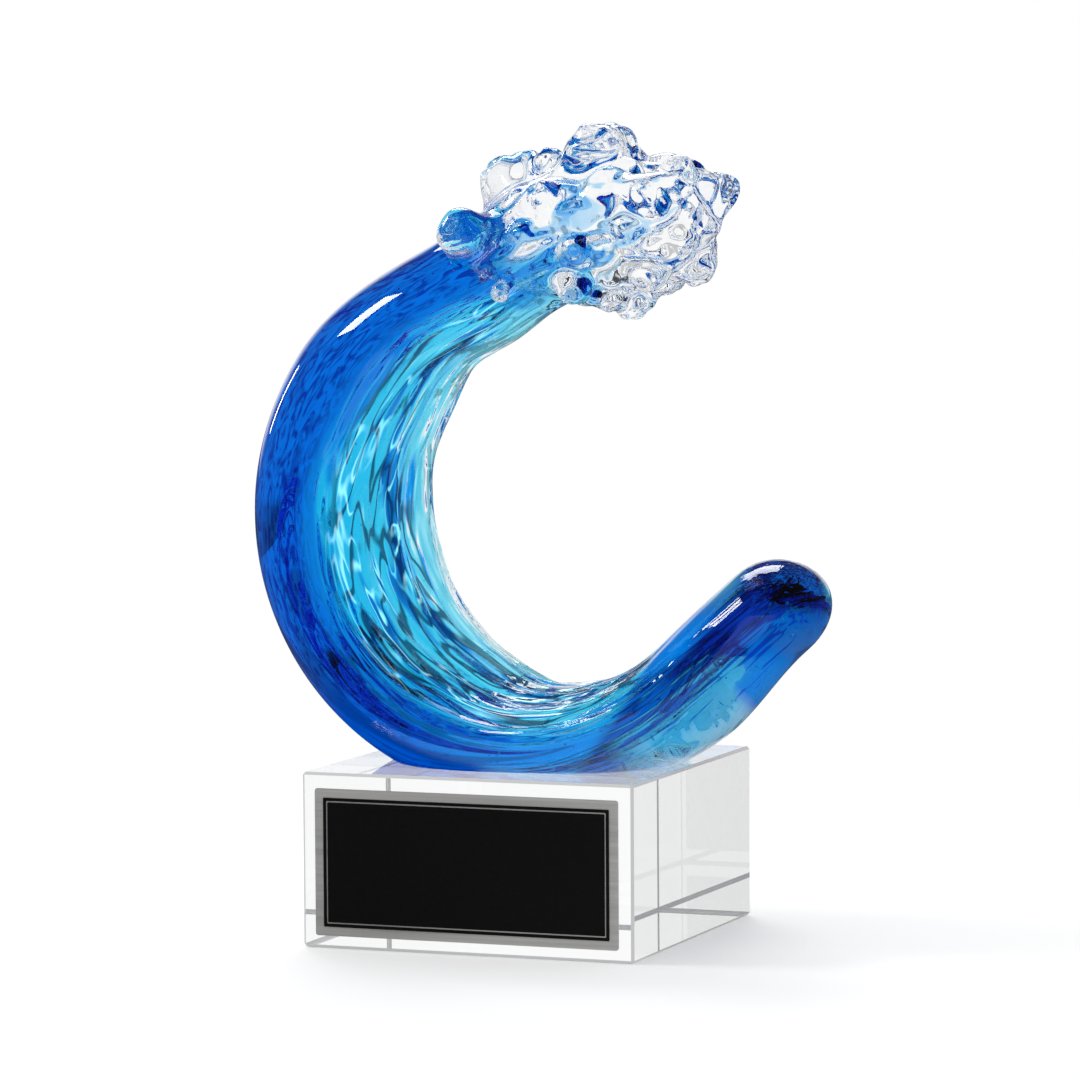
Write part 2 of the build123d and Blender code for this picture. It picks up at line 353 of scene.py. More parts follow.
# sizes in millimetres; hills are their count across, shift, length and seed
waveSkin = {
    "ring": 200,
    "crowding": 0.35,       # more points on the hollow than on the back
    "rowStep": 1.3,
    "tipTurn": 0.03,        # angle of the first row in the round of the tip
    "tipRows": 16,
    "reach": 42.0,          # past the curl's end, inside the crest
    "endDome": 10.0,
    "endTurn": (0.05, 0.1),         # angles left out at the two sides of the end's round
    "endRows": 8,
    "endShrink": 0.12,
    "shrinkZone": (curlEnd + 8, curlEnd + 26),
    "hollowEdge": (0.02, 0.4),      # of the cosine of the angle round the section
    "reliefStart": (25, 110),
    "reliefEnd": (curlEnd - 5, curlEnd + 25),
    "wander": 0.06,
    "wanderHills": (5, 9, 16, 14),
    "fluteDepth": 1.3,
    "fluteCount": 6.5,
    "streakDepth": 1.2,
    "streakHills": (7, 30, 30, 11),
    "rippleDepth": 0.35,
    "rippleHills": (13, 5, 18, 13),
    "unevenDepth": 0.12,
    "unevenHills": (3, 0, 22, 5),
    "tailLift": 2.2,
    "liftZone": (18, 52),
    "footSink": 0.1,        # into the block, so that light passes from one to the other
}


def buildLowerWave():
    dome, end = waveShape["tailDome"], curlEnd + waveSkin["reach"]
    length, around = tubeGrid(waveSkin, 0, dome, end)
    thick, wide = waveSection(length)
    tailSize = domeSize(np.minimum(length / dome, 1))
    endSize = domeSize(np.clip((end - length) / waveSkin["endDome"], 0, 1))
    endSize = endSize * (1 - waveSkin["endShrink"] * stepUp(length, *waveSkin["shrinkZone"]))
    inward = thick * np.cos(around) * tailSize * endSize
    side = wide * np.sin(around) * tailSize * endSize
    # flutes and drawn-out hollows on the hollow side
    hollow = stepUp(np.cos(around), *waveSkin["hollowEdge"])
    run = stepUp(length, *waveSkin["reliefStart"]) * (1 - stepUp(length, *waveSkin["reliefEnd"]))
    across = np.sin(around)
    bend = across + waveSkin["wander"] * drawnHills(across, length, waveSkin["wanderHills"])
    flute = 0.5 - 0.5 * np.cos(math.pi * waveSkin["fluteCount"] * (bend + 1))
    streak = drawnHills(bend, length, waveSkin["streakHills"])
    ripple = drawnHills(bend, length, waveSkin["rippleHills"])
    relief = (waveSkin["fluteDepth"] * flute + waveSkin["streakDepth"] * streak
              + waveSkin["rippleDepth"] * ripple)
    inward = inward - hollow * run * relief
    uneven = drawnHills(around, length, waveSkin["unevenHills"])
    inward = inward + waveSkin["unevenDepth"] * uneven * tailSize * endSize
    inward = inward + waveSkin["tailLift"] * tailSize * (1 - stepUp(length, *waveSkin["liftZone"]))
    points = offPath(length, inward, side)
    points[..., 2] = np.maximum(points[..., 2], waveShape["blockTop"] - waveSkin["footSink"])
    return newPiece("lowerWave", tubeMesh("lowerWave", points))


beadNodes = sorted(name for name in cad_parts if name.startswith("foam_bead"))
# sizes in millimetres, shares of a bead's radius
crestFoam = {
    "voxel": 0.70,
    "margin": 5.0,          # empty space round the crest
    "pathMore": 15.0,       # how far past the crest's ends its path is followed
    "tipDome": 13.0,
    "puff": 1.2,            # glass flowed over the gather
    "foldDepth": 2.0,       # ribbons drawn along the gather
    "ribbonHills": (3.2, 20, 26, 41),
    "ribbonLean": 30.0,
    "thinHills": (7, 40, 18, 42),
    "thinShare": 0.6,
    "seamAlongLip": 20.0,
    "seamFall": 24.0,       # degrees
    "seamRise": 14.0,
    "seamDip": 1.0,         # of the gather under the lip's glass
    "seamRound": 6.0,
    "headShare": 0.45,      # of a bead's height, where its head is measured
    "markSlant": (0.3, 1.0, 0.1),
    "markEdge": (0.75, 1.0),
    "markRise": 0.4,
    "markFull": 5.0,        # radius from which a mark has its full depth
    "ringDepth": 0.8,
    "ringPlace": 0.5,
    "ringWidth": 0.17,
    "dimpleWidth": 0.35,
    "swirlDepth": 0.55,
    "swirlTurns": 11,
    "swirlEdge": (0.05, 0.3),
    "neckShare": 0.5,
    "neckLength": (1.2, 2),     # share of the radius, and what is added
    "blendShare": 1.1,      # how far a bead flows into its neighbours
    "leastBlend": 1.5,
    "reach": (1.8, 3),      # how far a bead is drawn: share of the radius, and what is added
    "warp": 1.8,
    "warpSize": 8.0,
    "warpSeeds": (51, 61, 71),
}


def beadSphere(name):
    # centre, radius and outward axis of a bead's round head
    own = readPoints(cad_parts[name].data)
    middle = own.mean(0)
    x, z = pathFrame(np.arange(curlEnd, pathEnd, pathStep))[:2]
    at = ((middle[0] - x) ** 2 + (middle[2] - z) ** 2).argmin()
    axis = middle - np.array([x[at], 0, z[at]])
    axis /= np.linalg.norm(axis)
    high = own @ axis
    head = own[high > high.max() - crestFoam["headShare"] * (high.max() - high.min())]
    fit = np.linalg.lstsq(np.c_[2 * head, np.ones(len(head))], (head ** 2).sum(1), rcond=None)[0]
    return fit[:3], math.sqrt(fit[3] + (fit[:3] ** 2).sum()), axis


def flowInto(first, second, reach):
    # the nearer of two distances, rounded where they meet
    near = np.maximum(reach - np.abs(first - second), 0) / reach
    return np.minimum(first, second) - near * near * reach / 4


def spaceHills(points, size, seed):
    # smooth random hills in space, from three layers shifted against each other
    a = flowNoise(points[..., 0] / size, points[..., 1] / size, seed)
    b = flowNoise(points[..., 1] / size + 7, points[..., 2] / size, seed + 1)
    c = flowNoise(points[..., 2] / size + 13, points[..., 0] / size, seed + 2)
    return (a + b + c) / 3


def coreDistance(points):
    # distance to the clear gather that carries the beads, with ribbons drawn along it
    more, dome = crestFoam["pathMore"], crestFoam["tipDome"]
    along, inward, side = nearestOnPath(points, curlEnd - more, pathEnd + more)
    thick, wide = waveSection(along)
    past = np.maximum(along - (pathEnd - dome), 0)
    parts = np.stack([past / dome, inward / thick, side / wide])
    sizes = np.stack([np.full_like(thick, dome), thick, wide])
    outer = np.sqrt((parts ** 2).sum(0))
    slope = np.sqrt(((parts / sizes) ** 2).sum(0))
    away = outer * (outer - 1) / np.maximum(slope, 1e-6)
    around = np.arctan2(side / wide, inward / thick)
    fold = drawnHills(around, along, crestFoam["ribbonHills"], along / crestFoam["ribbonLean"])
    fold = fold + crestFoam["thinShare"] * drawnHills(around, along, crestFoam["thinHills"])
    # only what lies above the sloping seam across the lip
    x, z = pathFrame(curlEnd + crestFoam["seamAlongLip"])[:2]
    fall = math.radians(crestFoam["seamFall"])
    below = (x - points[:, 0]) * math.sin(fall) + (z - points[:, 2]) * math.cos(fall)
    rise = stepUp(-below, 0, crestFoam["seamRise"])
    dip = crestFoam["seamDip"]
    away = away + dip - rise * (crestFoam["foldDepth"] * fold + crestFoam["puff"] + dip)
    return -flowInto(-away, -below, crestFoam["seamRound"])


def beadDistance(points, number, centre, radius, axis):
    # distance to one bead's head, with a ring, a spiral or a dimple pressed in
    offset = points - centre
    high = offset @ axis
    flat = offset - high[..., None] * axis
    east = np.cross(axis, crestFoam["markSlant"])
    east /= np.linalg.norm(east)
    north = np.cross(axis, east)
    angle = np.arctan2(flat @ north, flat @ east)
    share = np.linalg.norm(flat, axis=-1) / radius
    cap = (1 - stepUp(share, *crestFoam["markEdge"])) * stepUp(high, 0, radius * crestFoam["markRise"])
    mark = number % 3
    if mark == 0:
        press = np.exp(-((share - crestFoam["ringPlace"]) / crestFoam["ringWidth"]) ** 2)
        press = crestFoam["ringDepth"] * press
    elif mark == 1:
        press = crestFoam["swirlDepth"] * np.cos(angle + crestFoam["swirlTurns"] * share + number)
        press = press * stepUp(share, *crestFoam["swirlEdge"])
    else:
        press = crestFoam["ringDepth"] * np.exp(-(share / crestFoam["dimpleWidth"]) ** 2)
    return np.linalg.norm(offset, axis=-1) - radius + cap * press * min(1.0, radius / crestFoam["markFull"])


def neckDistance(points, centre, radius, axis):
    # distance to the neck between a bead's head and the glass below it
    share, more = crestFoam["neckLength"]
    down = np.clip((centre - points) @ axis, 0, radius * share + more)
    return np.linalg.norm(points - centre + down[..., None] * axis, axis=-1) - radius * crestFoam["neckShare"]


def addBead(away, axes, warped, number, sphere):
    centre, radius, axis = sphere
    share, more = crestFoam["reach"]
    reach = radius * share + more
    cut = tuple(slice(*np.searchsorted(line, (middle - reach, middle + reach)))
                for line, middle in zip(axes, centre))
    bead = beadDistance(warped[cut], number, centre, radius, axis)
    neck = neckDistance(warped[cut], centre, radius, axis)
    bead = flowInto(bead, neck, radius * crestFoam["neckShare"])
    away[cut] = flowInto(away[cut], bead, max(crestFoam["leastBlend"], radius * crestFoam["blendShare"]))


def buildCrest():
    step, margin = crestFoam["voxel"], crestFoam["margin"]
    corners = np.array([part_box(name) for name in ["crest_core"] + beadNodes]) / mm
    low, high = corners[:, 0].min(0) - margin, corners[:, 1].max(0) + margin
    axes = [np.arange(low[i], high[i], step) for i in range(3)]
    grid = np.stack(np.meshgrid(*axes, indexing="ij"), -1)
    away = coreDistance(grid.reshape(-1, 3)).reshape(grid.shape[:3])
    warp = np.stack([spaceHills(grid, crestFoam["warpSize"], seed) for seed in crestFoam["warpSeeds"]], -1)
    warped = grid + crestFoam["warp"] * warp
    for number, name in enumerate(beadNodes):
        addBead(away, axes, warped, number, beadSphere(name))
    for axis in range(3):
        away = (np.roll(away, 1, axis) + 2 * away + np.roll(away, -1, axis)) / 4
    field = openvdb.FloatGrid(margin)
    field.copyFromArray(away.astype(np.float32))
    points, triangles, quads = field.convertToPolygons(isovalue=0.0, adaptivity=0.0)
    mesh = bpy.data.meshes.new("crest")
    mesh.from_pydata(((points * step + low) * mm).tolist(), [], triangles.tolist() + quads.tolist())
    tidyNormals(mesh)
    return newPiece("crest", mesh)


glassSkin = {
    "merge": 0.004 * mm,
    "sharpAngle": 50.0,
    "flowUnit": 100.0,      # mm along the wave in one unit of alongFlow
    "blueLean": (0.3, 0.25),        # how the end of the blue slopes along Y and into the hollow
    "blueEnd": (curlEnd + 11, curlEnd + 32),
    "blueRim": (1.08, 1.25),        # beads that stand out past the wave's section stay clear
}


def buildSkin():
    skin, crest = buildLowerWave(), buildCrest()
    join = skin.modifiers.new("join", "BOOLEAN")
    join.operation = "UNION"
    join.solver = "MANIFOLD"
    join.object = crest
    applyModifiers(skin)
    bpy.data.objects.remove(crest)
    skin.name = "glassSkin"
    mesh = skin.data
    tidyNormals(mesh, glassSkin["merge"])
    writeFlows(mesh)
    mesh.shade_smooth()
    mesh.set_sharp_from_angle(angle=math.radians(glassSkin["sharpAngle"]))
    print("skin triangles:", sum(len(p.vertices) - 2 for p in mesh.polygons))
    return skin


def writeFlows(mesh):
    # where each point lies in the flow of the glass, for the material
    along, inward, side = nearestOnPath(readPoints(mesh))
    thick, wide = waveSection(along)
    sideLean, inwardLean = glassSkin["blueLean"]
    blue = 1 - stepUp(along + sideLean * side + inwardLean * inward, *glassSkin["blueEnd"])
    blue = blue * (1 - stepUp(np.hypot(side / wide, inward / thick), *glassSkin["blueRim"]))
    values = {
        "alongFlow": along / glassSkin["flowUnit"],
        "turnFlow": np.arctan2(side / wide, inward / thick) / math.pi,
        "acrossFlow": side / wide,
        "hollowFlow": inward / thick,
        "blueAmount": blue,
    }
    for name, value in values.items():
        layer = mesh.attributes.new(name, "FLOAT", "POINT")
        layer.data.foreach_set("value", value.astype(np.float32))


# sizes in millimetres; hills are their count across, shift, length and seed
blueCore = {
    "density": 72.0,        # per metre
    "colour": (0.05, 0.83, 0.96, 1),
    "ring": 150,
    "crowding": 0.45,
    "rowStep": 1.8,
    "start": 5.0,
    "dome": 14.0,
    "tipTurn": 0.05,
    "tipRows": 10,
    "reach": 46.0,          # past the curl's end
    "endDome": 20.0,
    "endTurn": (0.02, 0.08),
    "endRows": 12,
    "tongueShift": 3.5,
    "tonguePower": 0.6,
    "frontCover": 2.2,      # clear glass over the blue
    "rearCover": 4.0,
    "footCover": 1.5,
    "ripple": 4.0,
    "backRipple": 0.2,
    "rippleHills": (7, 20, 50, 31),
    "fineHills": (17, 3, 30, 32),
    "fineShare": 0.7,
}
# length along the path, clear glass over the blue on the hollow side and on the back
coverStations = [
    (0, 1.0, 6.0),
    (blueCore["start"] + blueCore["dome"], 1.0, 9.0),
    (curlStart, 3.0, 12.5),
    (curlFoot, 12.0, 1.2),
    (curlBack, 12.0, 1.2),
    ((curlBack + curlEnd) / 2, 12.0, 2.2),
    (curlEnd, 12.0, 3.0),
    (pathEnd, 12.0, 3.0),
]


def buildBlueCore():
    begin, dome, end = blueCore["start"], blueCore["dome"], curlEnd + blueCore["reach"]
    length, around = tubeGrid(blueCore, begin, dome, end)
    thick, wide = waveSection(np.minimum(length, curlEnd))
    past = np.clip((length - curlEnd) / blueCore["reach"], 0, 1)
    size = domeSize(np.minimum((length - begin) / dome, 1)) * (1 - past) ** blueCore["tonguePower"]
    hollowSide = np.cos(around) > 0
    cover = np.where(hollowSide, alongStations(length, 1, coverStations),
                     alongStations(length, 2, coverStations))
    across = np.sin(around)
    front, rear = blueCore["frontCover"], blueCore["rearCover"]
    side = (front - rear) / 2 + (wide - (front + rear) / 2) * across
    lines = drawnHills(across, length, blueCore["rippleHills"])
    lines = lines + blueCore["fineShare"] * drawnHills(across, length, blueCore["fineHills"])
    ripple = np.where(hollowSide, blueCore["ripple"], blueCore["backRipple"])
    inward = (thick - cover) * np.cos(around)
    inward = inward + ripple * lines * np.abs(np.cos(around))
    points = offPath(length, inward * size + blueCore["tongueShift"] * past, side * size)
    points[..., 2] = np.maximum(points[..., 2], waveShape["blockTop"] + blueCore["footCover"])
    mesh = tubeMesh("blueCore", points)
    mesh.shade_smooth()
    return newPiece("blueCore", mesh)


# streaks of blue pulled on into the crest: start and end past the curl, offsets into the hollow
# and along Y at the start and at the end, radius, all in millimetres
blueWisps = {
    "density": 130.0,       # per metre
    "colour": (0.02, 0.60, 0.94, 1),
    "rows": 48,
    "ring": 14,
    "tip": 0.004,           # share of the length where a streak starts and stops
    "flatness": 1.6,
    "streaks": [
        (12, 64, 4, -9, 3, -13, 3.6),
        (10, 74, 0, 3, -4, 5, 4.0),
        (14, 60, 5, 9, 6, 12, 3.2),
        (12, 68, -3, -8, -7, -12, 2.8),
        (16, 78, 1, -2, 1, -4, 2.6),
    ],
}


def buildWisps():
    work = bmesh.new()
    for begin, end, inward, side, endInward, endSide, radius in blueWisps["streaks"]:
        rows = np.linspace(begin, end, blueWisps["rows"]) + curlEnd
        turn = np.linspace(0, 2 * math.pi, blueWisps["ring"], endpoint=False)
        length, around = np.meshgrid(rows, turn, indexing="ij")
        share = (length - curlEnd - begin) / (end - begin)
        share = np.clip(share, blueWisps["tip"], 1 - blueWisps["tip"])
        size = radius * np.sin(math.pi * share ** blueCore["tonguePower"])
        points = offPath(length, inward + share * (endInward - inward) + size * np.cos(around),
                         side + share * (endSide - side) + blueWisps["flatness"] * size * np.sin(around))
        work.from_mesh(tubeMesh("wisp", points))
    mesh = bpy.data.meshes.new("blueWisps")
    work.to_mesh(mesh)
    work.free()
    mesh.shade_smooth()
    return newPiece("blueWisps", mesh)


airBubbles = {
    "Density": 9000.0,      # per square metre of the blue glass's skin
    "Smallest": 0.10 * mm,
    "Largest": 0.38 * mm,
    "Depth": 5.0 * mm,
    "Seed": 7,
}


def bubbleGroup(material):
    group = bpy.data.node_groups.new("airBubbles", "GeometryNodeTree")
    group.interface.new_socket("Geometry", in_out="INPUT", socket_type="NodeSocketGeometry")
    for name, value in airBubbles.items():
        kind = "NodeSocketInt" if isinstance(value, int) else "NodeSocketFloat"
        group.interface.new_socket(name, in_out="INPUT", socket_type=kind)
    group.interface.new_socket("Geometry", in_out="OUTPUT", socket_type="NodeSocketGeometry")
    start = Sock(group)
    given = group.nodes.new("NodeGroupInput")
    inputs = {socket.name: Sock(group, socket) for socket in given.outputs if socket.name}
    seed = inputs["Seed"]
    points = start.node("GeometryNodeDistributePointsOnFaces", sockets={
        "Mesh": inputs["Geometry"], "Density": inputs["Density"], "Seed": seed})
    normal = Sock(group, points.out.node.outputs["Normal"])
    sink = start.node("FunctionNodeRandomValue", sockets={
        2: 0.0, 3: inputs["Depth"], "Seed": seed}, out=1)
    inside = start.node("ShaderNodeVectorMath", {"operation": "SCALE"}, {0: normal, "Scale": sink * -1.0})
    points = start.node("GeometryNodeSetPosition", sockets={"Geometry": points, "Offset": inside})
    ball = start.node("GeometryNodeMeshIcoSphere", sockets={"Radius": 1.0, "Subdivisions": 2})
    size = start.node("FunctionNodeRandomValue", sockets={
        2: inputs["Smallest"], 3: inputs["Largest"], "Seed": seed + 1.0}, out=1)
    balls = start.node("GeometryNodeInstanceOnPoints", sockets={
        "Points": points, "Instance": ball, "Scale": size})
    solid = start.node("GeometryNodeRealizeInstances", sockets={0: balls})
    smooth = start.node("GeometryNodeSetShadeSmooth", sockets={0: solid})
    coated = start.node("GeometryNodeSetMaterial", sockets={0: smooth, "Material": material})
    output = group.nodes.new("NodeGroupOutput")
    start.plug(output.inputs[0], coated)
    return group


def buildBubbles(core, material):
    piece = newPiece("airBubbles", core.data.copy())
    scatter = piece.modifiers.new("scatter", "NODES")
    scatter.node_group = bubbleGroup(material)
    for item in scatter.node_group.interface.items_tree:
        if item.name in airBubbles:
            scatter[item.identifier] = airBubbles[item.name]
    applyModifiers(piece)
    print("bubble triangles:", len(piece.data.polygons))
    return piece


glassIndex = 1.5            # how strongly the glass bends light


def bubbleMaterial():
    material, start = newMaterial("airBubble")
    shader = start.node("ShaderNodeBsdfPrincipled", sockets={
        "Base Color": white, "Roughness": 0.0, "IOR": 1 / glassIndex, "Transmission Weight": 1.0})
    finishMaterial(start, shader)
    return material


def coreMaterial(name, glass):
    material, start = newMaterial(name)
    volume = start.node("ShaderNodeVolumeAbsorption", sockets={
        "Color": glass["colour"], "Density": glass["density"]})
    finishMaterial(start, volume=volume)
    return material


# noise in the glass: stretch across, into the hollow and along the flow, scale, detail, twist
glassNoise = {
    "broad": ((7.0, 7.0, 2.2), 0.8, 1.0, 0.4),
    "cells": ((7.0, 7.0, 3.8), 1.0, 0.6, 0.9),
    "veins": ((7.0, 7.0, 3.8), 0.73, 0.4, 1.2),
    "mottle": ((9.0, 9.0, 11.0), 1.0, 1.0, 2.2),
    "fibre": ((15.0, 15.0, 5.0), 1.0, 1.5, 0.6),
}
# a tint shows as its square root, so the deep ones are very small numbers
glassTints = {
    "frontDark": (0.000001, 0.007, 0.22, 1),
    "frontLight": (0.00001, 0.11, 0.82, 1),
    "foot": (0.000001, 0.34, 1.0, 1),
    "rear": (0.92, 0.99, 1.0, 1),
    # painted light and painted shade: tints of the hollow's bright lines and dark lines
    "paintedLightLine": (0.95, 1.0, 1.0, 1),
    "paintedShadeLine": (0.000001, 0.002, 0.03, 1),
    # painted glint: the colour that the hollow's thin lines glow with
    "paintedGlint": (0.30, 0.55, 0.62, 1),
    "tailLight": (0.000001, 0.13, 0.80, 1),
    "tailDark": (0.000001, 0.003, 0.065, 1),
    "tailStreak": (0.000001, 0.045, 0.40, 1),
    "tailUnder": (1.0, 0.76, 1.0, 1),
    "rim": (0.005, 0.20, 0.72, 1),
    "crest": (0.985, 0.99, 0.995, 1),
}
# the hollow's face runs from its front rim, at 0, to its rear rim, at 1
hollowFace = {
    "front": 0.38,
    "width": 0.435,
    "lipZone": (1.8, 2.5),
    "lipShift": 0.035,
    "lipNarrowing": 0.19,
    "wander": 1.3,
    "rampStart": 0.3,       # before the front rim
    "rampSpan": 1.5,
    "bands": [
        (-0.28, (0.0020, 0.15, 0.75, 1)),
        (-0.10, (0.03, 0.40, 0.92, 1)),
        (0.06, (0.55, 0.98, 1.00, 1)),
        (0.32, (0.38, 0.95, 1.00, 1)),
        (0.44, (0.004, 0.14, 0.62, 1)),
        (0.58, (0.00001, 0.003, 0.05, 1)),
        (0.74, (0.0008, 0.22, 0.90, 1)),
        (0.86, (0.85, 0.96, 1.00, 1)),
        (1.10, (0.93, 0.94, 0.94, 1)),
    ],
    # lines of painted light and painted shade on the glass: noise, edge and core of a line, where they start
    # and stop, strength
    "lines": {
        "paintedLightLine": ("cells", (0.07, 0.02), (-0.15, 0.05), (0.85, 0.6), 0.9),
        "paintedShadeLine": ("veins", (0.08, 0.03), (-0.1, 0.1), (0.95, 0.75), 0.95),
    },
}
# from where a zone starts to where it is full, along, across or into the flow, or on a noise
glassZones = {
    "hollow": (0.0, 0.35),
    "mottle": (0.35, 0.65),
    "foot": (1.0, 1.35),
    "rear": (-0.3, 0.2),
    "tailStreak": (0.42, 0.60),
    "tailUpper": (0.28, 0.52),
    "tailUpperStart": (0.15, 0.35),
    "tailUnder": (-0.15, -0.45),
    "tailUnderStart": (0.0, 0.12),
    "tailUnderEnd": (0.72, 0.55),
    "tailFar": (-0.1, 0.3),
    "tailFarLow": (0.1, -0.3),
    "tailEnd": (0.64, 0.72),
    # where the painted glint lies on the hollow
    "glintLine": (0.055, 0.0),
    "glintPatch": (0.42, 0.58),
    "glintFront": (-0.05, 0.1),
    "glintRear": (0.8, 0.55),
    "glintStart": (0.9, 1.1),
    "rimStart": (0.98, 1.08),
    "rimEnd": (1.6, 1.4),
    "rimBack": (-0.15, -0.4),
    "rimFront": (0.2, -0.2),
    "reliefStart": (0.4, 0.8),
}
glassFinish = {
    "upperWander": 1.2,
    "underWander": 2.6,
    "underShare": 0.65,
    "farShare": 0.8,
    "tailLean": 0.25,
    "tailRelief": 0.05,
    "curlScale": 48.0,      # curls on the crest, per metre
    "curlTwist": 1.0,
    "curlHeight": 0.75,
    "reliefDepth": 0.0026,
}


def readFlows(start):
    # the flow of the glass and the noises that follow it, by name
    flow = {name: start.node("ShaderNodeAttribute", {"attribute_name": attribute}, out=2)
            for name, attribute in (("along", "alongFlow"), ("turn", "turnFlow"), ("across", "acrossFlow"),
                                    ("hollow", "hollowFlow"), ("blue", "blueAmount"))}
    for name, (stretch, scale, detail, twist) in glassNoise.items():
        place = start.node("ShaderNodeCombineXYZ", sockets={
            i: flow[part] * stretch[i] for i, part in enumerate(("across", "hollow", "along"))})
        flow[name] = start.node("ShaderNodeTexNoise", sockets={
            "Vector": place, "Scale": scale, "Detail": detail, "Distortion": twist})
    lip = flow["along"].between(*hollowFace["lipZone"])
    front = flow["turn"] + hollowFace["front"] - lip * hollowFace["lipShift"]
    flow["face"] = front / (hollowFace["width"] - lip * hollowFace["lipNarrowing"])
    flow["onHollow"] = flow["hollow"].between(*glassZones["hollow"])
    return flow


def offMiddle(noise, amount):
    return (noise - 0.5) * amount


def thinLine(noise, edge, core):
    # a line where a noise crosses its middle value
    return (noise - 0.5).math("ABSOLUTE").between(edge, core)


def hollowTint(start, flow):
    face, first, span = flow["face"], hollowFace["rampStart"], hollowFace["rampSpan"]
    stops = [((at + first) / span, colour) for at, colour in hollowFace["bands"]]
    along = (face + offMiddle(flow["broad"], hollowFace["wander"]) + first) / span
    tint = start.node("ShaderNodeValToRGB", {"stops": stops}, {0: along})
    # painted light and painted shade along thin lines across the hollow
    for name, (noise, line, begin, end, strength) in hollowFace["lines"].items():
        mask = thinLine(flow[noise], *line) * face.between(*begin) * face.between(*end)
        tint = (mask * strength).blend(tint, glassTints[name])
    return tint


def backTint(flow):
    front = flow["mottle"].between(*glassZones["mottle"])
    front = front.blend(glassTints["frontDark"], glassTints["frontLight"])
    front = flow["along"].between(*glassZones["foot"]).blend(glassTints["foot"], front)
    return flow["across"].between(*glassZones["rear"]).blend(front, glassTints["rear"])


def tailTint(flow):
    along, across, hollow = flow["along"], flow["across"], flow["hollow"]
    streak = flow["fibre"].between(*glassZones["tailStreak"])
    tint = streak.blend(glassTints["tailDark"], glassTints["tailStreak"])
    upper = hollow + offMiddle(flow["broad"], glassFinish["upperWander"])
    upper = upper.between(*glassZones["tailUpper"]) * along.between(*glassZones["tailUpperStart"])
    tint = upper.blend(tint, glassTints["tailLight"])
    under = hollow + offMiddle(flow["fibre"], glassFinish["underWander"])
    under = under.between(*glassZones["tailUnder"]) * along.between(*glassZones["tailUnderEnd"])
    under = under * along.between(*glassZones["tailUnderStart"])
    tint = (under * glassFinish["underShare"]).blend(tint, glassTints["tailUnder"])
    far = across.between(*glassZones["tailFar"]) * hollow.between(*glassZones["tailFarLow"])
    return (far * glassFinish["farShare"]).blend(tint, glassTints["rear"])


def glassRelief(start, flow):
    # ripples in the hollow, curls on the clear crest
    share = flow["along"].between(*glassZones["reliefStart"])
    share = share * (1.0 - glassFinish["tailRelief"]) + glassFinish["tailRelief"]
    height = (flow["cells"] + flow["veins"]) * flow["onHollow"] * flow["blue"] * share
    curls = start.node("ShaderNodeTexNoise", sockets={
        "Vector": start.node("ShaderNodeTexCoord", out=3), "Scale": glassFinish["curlScale"], "Detail": 0.0,
        "Distortion": glassFinish["curlTwist"]})
    height = height + curls * (1.0 - flow["blue"]) * glassFinish["curlHeight"]
    return start.node("ShaderNodeBump", sockets={
        "Strength": 1.0, "Distance": glassFinish["reliefDepth"], "Height": height})


# painted glint: thin lines on the hollow glow by emission, standing in for light caught in the flutes
def paintedHollowGlint(flow):
    paintedGlint = thinLine(flow["cells"], *glassZones["glintLine"])
    paintedGlint = paintedGlint * flow["broad"].between(*glassZones["glintPatch"]) * flow["onHollow"] * flow["blue"]
    for name, zone in (("face", "glintFront"), ("face", "glintRear"), ("along", "glintStart")):
        paintedGlint = paintedGlint * flow[name].between(*glassZones[zone])
    return paintedGlint.blend(black, glassTints["paintedGlint"])


def lowerRim(flow):
    # the part of the lower left rim that shows no mirror image
    rim = flow["along"].between(*glassZones["rimStart"]) * flow["along"].between(*glassZones["rimEnd"])
    rim = rim * flow["hollow"].between(*glassZones["rimBack"])
    return rim * flow["across"].between(*glassZones["rimFront"])


def glassMaterial():
    material, start = newMaterial("waveGlass")
    flow = readFlows(start)
    body = flow["onHollow"].blend(backTint(flow), hollowTint(start, flow))
    pastTail = flow["along"] + flow["hollow"] * glassFinish["tailLean"]
    body = pastTail.between(*glassZones["tailEnd"]).blend(tailTint(flow), body)
    shader = start.node("ShaderNodeBsdfPrincipled", sockets={
        "Base Color": flow["blue"].blend(glassTints["crest"], body), "Roughness": 0.0, "IOR": glassIndex,
        "Transmission Weight": 1.0, "Normal": glassRelief(start, flow),
        "Emission Color": paintedHollowGlint(flow), "Emission Strength": 1.0})
    dull = start.node("ShaderNodeBsdfRefraction", sockets={
        "Color": glassTints["rim"], "Roughness": 0.0, "IOR": glassIndex})
    finishMaterial(start, start.node("ShaderNodeMixShader", sockets={0: lowerRim(flow), 1: shader, 2: dull}))
    return material


crystal = {
    "colour": (0.985, 0.99, 0.99, 1),
    "bevel": 0.78 * mm,     # just inside the block's bevels
    "bevelColour": (0.25, 0.25, 0.25, 1),
    # painted light: a faint glow on the ground bevels, standing in for light let through the ground glass
    "bevelPaintedLight": (0.30, 0.30, 0.30, 1),
    "bevelRoughness": 0.35,
}


